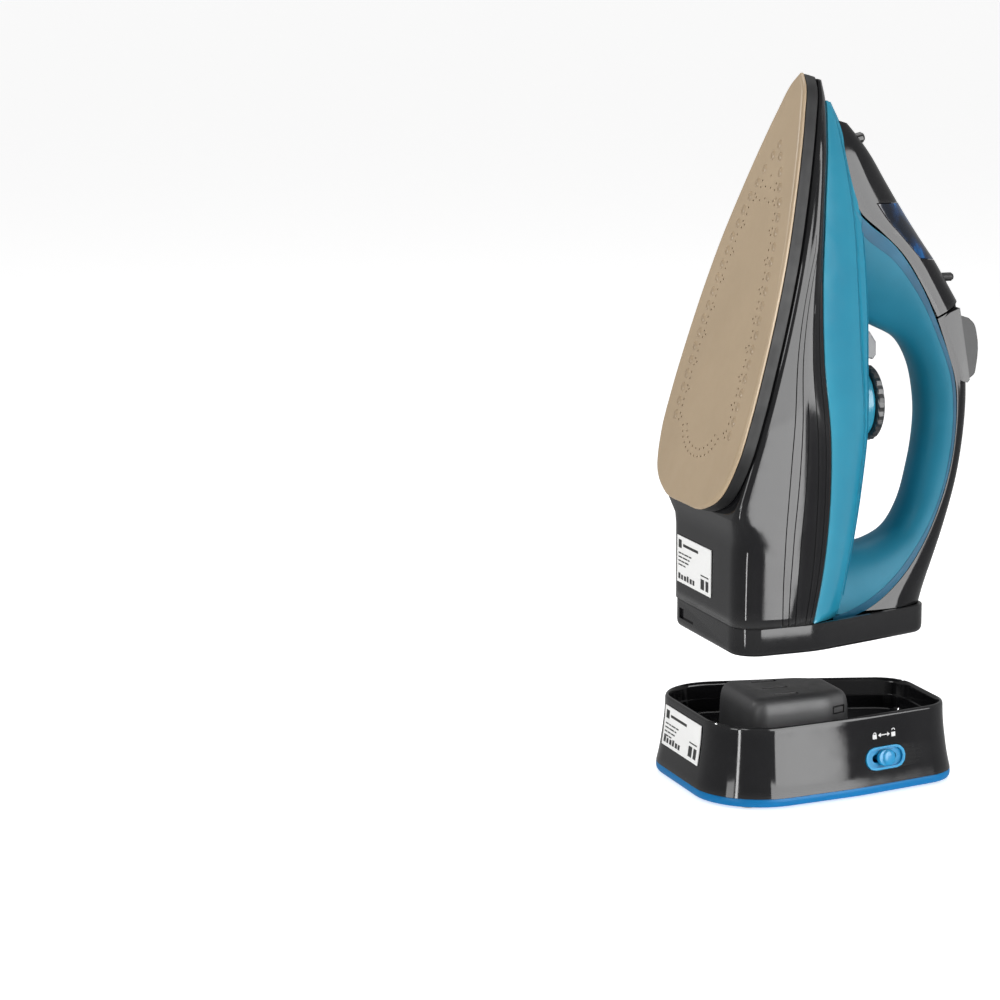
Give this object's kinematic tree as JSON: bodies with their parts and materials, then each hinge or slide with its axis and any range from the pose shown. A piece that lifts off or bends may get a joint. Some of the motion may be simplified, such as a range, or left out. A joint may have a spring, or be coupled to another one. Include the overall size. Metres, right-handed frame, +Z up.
{
  "type": "cordless steam iron",
  "caption": "Cordless steam iron with a ceramic soleplate, loop handle and clear filler lid, lifted over its docking base with a pedestal and a lock slider.",
  "frame": {"origin": "centre of the bounding box's underside, on the floor under the dock", "axes": "+Z up from the dock to the soleplate's tip, -Y the way the soleplate faces, +Y the way the handle faces, +X the side with the lock slider"},
  "size_m": [0.1182, 0.1651, 0.3727],
  "materials": {
    "ceramic_sole": "satin beige ceramic coating",
    "black_gloss": "gloss",
    "black_matte": "matte",
    "teal_gloss": "gloss",
    "base_blue": "gloss",
    "tinted_clear": "gloss, tinted and clear",
    "pedestal_grey": "fine matte grain",
    "aluminium": "as cast",
    "steel": "satin",
    "brass": "satin",
    "lamp_grey": "gloss, clear grey",
    "label_white": "plain sticker",
    "white_plastic": "matte",
    "rubber": "matte"
  },
  "bodies": {
    "dock": {"dock_shell": "black_gloss", "dock_base": "base_blue", "dock_pedestal": "pedestal_grey", "dock_contact_1": "brass", "dock_contact_2": "brass", "dock_contact_3": "brass", "dock_terminal_block": "white_plastic", "lock_track": "base_blue", "dock_foot_1": "rubber", "dock_foot_2": "rubber", "dock_foot_3": "rubber", "dock_foot_4": "rubber", "base_screw_1": "steel", "base_screw_2": "steel", "cord_gland": "rubber", "dock_label": "label_white"},
    "iron": {"soleplate": "ceramic_sole", "lower_housing": "black_gloss", "handle_cover": "black_gloss", "nose_cover": "black_gloss", "spray_nozzle": "black_gloss", "heel_cap": "black_gloss", "heat_shield": "black_matte", "upper_housing": "teal_gloss", "handle_loop": "teal_gloss", "water_tank": "tinted_clear", "heater_casting": "aluminium", "steam_chamber_cover": "aluminium", "heating_element": "steel", "thermostat": "steel", "spray_spring": "steel", "steam_spring": "steel", "chamber_screw_1": "steel", "chamber_screw_2": "steel", "heel_screw_1": "steel", "heel_screw_2": "steel", "contact_blade_1": "brass", "contact_blade_2": "brass", "contact_blade_3": "brass", "lamp_lens": "lamp_grey", "heel_label": "label_white", "thermal_fuse": "white_plastic", "spray_pump": "white_plastic", "steam_pump": "white_plastic", "contact_block": "white_plastic", "lead_wire_1": "rubber", "lead_wire_2": "rubber"},
    "lid": {"filler_lid": "tinted_clear"},
    "lever": {"steam_lever": "black_gloss"},
    "spray_key": {"spray_button": "black_gloss", "spray_plunger": "white_plastic"},
    "steam_key": {"steam_button": "black_gloss", "steam_plunger": "white_plastic"},
    "dial": {"temperature_dial": "black_matte", "thermostat_spindle": "white_plastic"},
    "lock": {"lock_slider": "base_blue"},
    "tongue": {"lock_tongue": "pedestal_grey"}
  },
  "joints": [
    {"name": "iron_lift", "type": "slide", "parent": "dock", "child": "iron", "axis": [0, 0, 1], "range_m": [-0.052, 0.06]},
    {"name": "lid_lift", "type": "slide", "parent": "iron", "child": "lid", "axis": [0, 0.9952, -0.0982], "range_m": [0, 0.03]},
    {"name": "lever_swing", "type": "hinge", "parent": "iron", "child": "lever", "pos_m": [0, 0.0488, 0.26431], "axis": [0, 0, 1], "range_deg": [-14, 14]},
    {"name": "spray_press", "type": "slide", "parent": "iron", "child": "spray_key", "axis": [0, -0.9613, 0.2756], "range_m": [0, 0.0035], "stiffness_N_per_m": 600, "springref_m": -0.001, "deforming": ["spray_spring"]},
    {"name": "steam_press", "type": "slide", "parent": "iron", "child": "steam_key", "axis": [0, -0.9613, 0.2756], "range_m": [0, 0.0035], "stiffness_N_per_m": 600, "springref_m": -0.001, "deforming": ["steam_spring"]},
    {"name": "dial_turn", "type": "hinge", "parent": "iron", "child": "dial", "pos_m": [0, 0.01985, 0.19979], "axis": [0, 1, 0], "range_deg": [0, 270]},
    {"name": "lock_slide", "type": "slide", "parent": "dock", "child": "lock", "axis": [-0.2537, 0.9673, 0], "range_m": [-0.0045, 0.0045]},
    {"name": "tongue_slide", "type": "slide", "parent": "dock", "child": "tongue", "axis": [0.9162, 0.4008, 0], "range_m": [-0.00337, 0.00337]}
  ],
  "couplings": [
    {"joint": "tongue_slide", "follows": "lock_slide", "ratio": 0.75}
  ]
}
